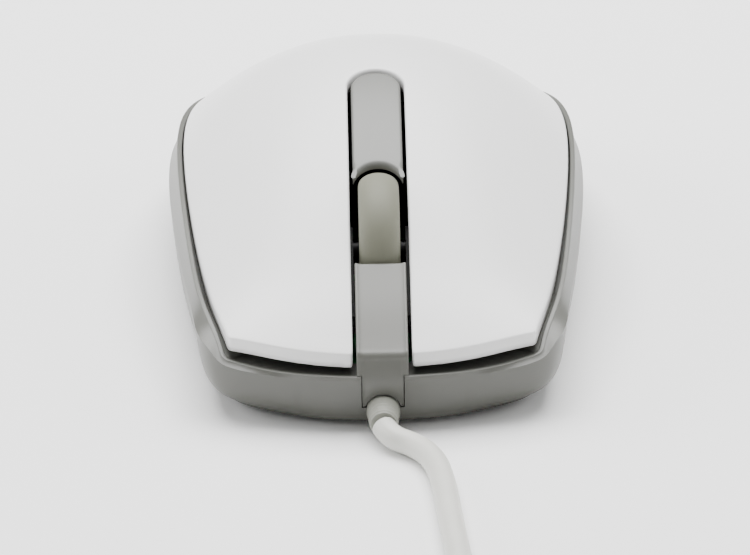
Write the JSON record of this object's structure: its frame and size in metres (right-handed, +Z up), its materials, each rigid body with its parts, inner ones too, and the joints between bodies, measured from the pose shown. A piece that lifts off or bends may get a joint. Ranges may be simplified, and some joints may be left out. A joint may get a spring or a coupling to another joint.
{
  "type": "computer mouse",
  "caption": "Wired optical computer mouse with a white arched cover, two flexing buttons, a scroll wheel, a grey case and a coiled cord with a plug.",
  "frame": {"origin": "on the desk under the middle of the mouse body", "axes": "+Z up, -Y towards the front where the cord leaves, +X to the right seen from the front"},
  "size_m": [0.0722, 0.2724, 0.0334],
  "materials": {
    "white_shell": "fine satin white",
    "grey_case": "satin warm grey",
    "grey_strip": "satin warm grey",
    "wheel_rubber": "matt grey rubber",
    "dark_plastic": "black",
    "natural_plastic": "natural nylon",
    "board": "green solder mask",
    "black_plastic": "black",
    "red_plastic": "red",
    "metal": "plated",
    "red_lens": "clear red",
    "clear_lens": "clear",
    "wire_skin": "coloured wire insulation",
    "foot_pad": "smooth dark low-friction pad",
    "label": "blank foil label",
    "cord_skin": "soft light grey vinyl",
    "tie": "black hook and loop",
    "plug_plastic": "grey moulded",
    "gold": "gold plated"
  },
  "bodies": {
    "housing": {"base_label": "label", "cable_connector": "natural_plastic", "cable_header": "natural_plastic", "capacitor": "black_plastic", "case_screw": "metal", "centre_strip": "grey_strip", "circuit_board": "board", "control_chip": "black_plastic", "cord_coil": "cord_skin", "cord_run": "cord_skin", "cord_tail": "cord_skin", "cord_tie": "tie", "encoder_emitter": "dark_plastic", "encoder_receiver": "dark_plastic", "front_foot": "foot_pad", "illumination_led": "red_lens", "lead_wires": "wire_skin", "led_clip": "black_plastic", "left_switch": "black_plastic", "lens_plate": "clear_lens", "lower_case": "grey_case", "middle_switch": "black_plastic", "nose_bridge": "grey_strip", "palm_cover": "white_shell", "plug_contacts": "gold", "plug_grip": "plug_plastic", "plug_relief": "plug_plastic", "plug_shell": "metal", "plug_tongue": "plug_plastic", "rear_foot": "foot_pad", "resonator": "metal", "right_switch": "black_plastic", "sensor_chip": "black_plastic", "small_resistors": "black_plastic", "strain_relief": "cord_skin"},
    "left_button": {"left_button": "white_shell"},
    "right_button": {"right_button": "white_shell"},
    "wheel_carrier": {"wheel_carrier": "natural_plastic"},
    "scroll_wheel": {"wheel_tyre": "wheel_rubber", "wheel_hub": "dark_plastic"},
    "left_plunger": {"left_plunger": "red_plastic"},
    "right_plunger": {"right_plunger": "red_plastic"},
    "middle_plunger": {"middle_plunger": "red_plastic"}
  },
  "joints": [
    {"name": "left_click", "type": "hinge", "parent": "housing", "child": "left_button", "pos_m": [0, -0.0034, 0.015], "axis": [1, 0, 0], "range_deg": [0, 0.85], "stiffness_Nm_per_rad": 1.6, "springref_deg": -0.57},
    {"name": "right_click", "type": "hinge", "parent": "housing", "child": "right_button", "pos_m": [0, -0.0034, 0.015], "axis": [1, 0, 0], "range_deg": [0, 0.85], "stiffness_Nm_per_rad": 1.6, "springref_deg": -0.57},
    {"name": "wheel_press", "type": "hinge", "parent": "housing", "child": "wheel_carrier", "pos_m": [0, -0.016, 0.0096], "axis": [1, 0, 0], "range_deg": [0, 1.4], "stiffness_Nm_per_rad": 1, "springref_deg": -1.15},
    {"name": "wheel_spin", "type": "hinge", "parent": "wheel_carrier", "child": "scroll_wheel", "pos_m": [0, -0.028, 0.0166], "axis": [1, 0, 0], "continuous": true},
    {"name": "left_plunger_slide", "type": "slide", "parent": "housing", "child": "left_plunger", "axis": [0, 0, -1], "range_m": [0, 0.0009]},
    {"name": "right_plunger_slide", "type": "slide", "parent": "housing", "child": "right_plunger", "axis": [0, 0, -1], "range_m": [0, 0.0009]},
    {"name": "middle_plunger_slide", "type": "slide", "parent": "housing", "child": "middle_plunger", "axis": [0, 0, -1], "range_m": [0, 0.0009]}
  ],
  "couplings": [
    {"joint": "left_plunger_slide", "follows": "left_click", "m_per_rad": 0.0346},
    {"joint": "right_plunger_slide", "follows": "right_click", "m_per_rad": 0.0346},
    {"joint": "middle_plunger_slide", "follows": "wheel_press", "m_per_rad": 0.0252}
  ]
}
